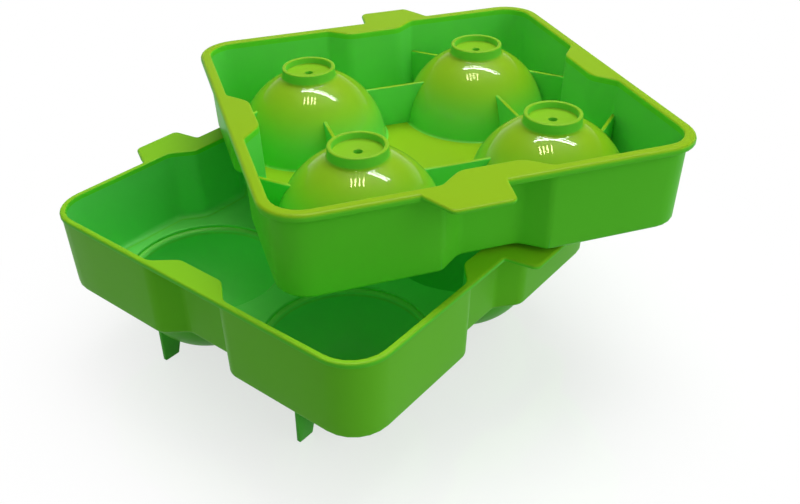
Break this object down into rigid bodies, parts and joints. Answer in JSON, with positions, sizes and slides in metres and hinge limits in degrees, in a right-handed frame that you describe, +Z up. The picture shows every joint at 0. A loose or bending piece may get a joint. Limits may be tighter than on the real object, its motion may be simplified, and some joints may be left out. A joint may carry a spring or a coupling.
{
  "type": "ice ball mold",
  "caption": "Two-piece square ice ball mould with hemispherical cups below and domes with filling collars above, shown opened with the upper tray askew.",
  "frame": {"origin": "on the standing plane, below the centre of the lower tray", "axes": "+Z up, X and Y along the lower tray's sides, with the feet on the -Y and +Y sides of the cups"},
  "size_m": [0.1597, 0.1658, 0.0772],
  "materials": {
    "green_plastic": "glossy moulded polypropylene, lime green"
  },
  "bodies": {
    "lower_tray": {"lower_wall": "green_plastic", "lower_floor": "green_plastic", "lower_rim": "green_plastic", "lower_tab_left": "green_plastic", "lower_tab_right": "green_plastic", "cup_left": "green_plastic", "cup_front": "green_plastic", "cup_right": "green_plastic", "cup_back": "green_plastic", "foot_left": "green_plastic", "foot_front": "green_plastic", "foot_right": "green_plastic", "foot_back": "green_plastic"},
    "upper_tray": {"upper_wall": "green_plastic", "upper_floor": "green_plastic", "upper_lip": "green_plastic", "upper_tab_front": "green_plastic", "upper_tab_back": "green_plastic", "dome_left": "green_plastic", "dome_front": "green_plastic", "dome_right": "green_plastic", "dome_back": "green_plastic", "cross_ribs": "green_plastic", "corner_ribs": "green_plastic"}
  },
  "joints": [
    {"name": "upper_lift", "type": "slide", "parent": "lower_tray", "child": "upper_tray", "axis": [0, 0, 1], "range_m": [0, 0.08]}
  ]
}
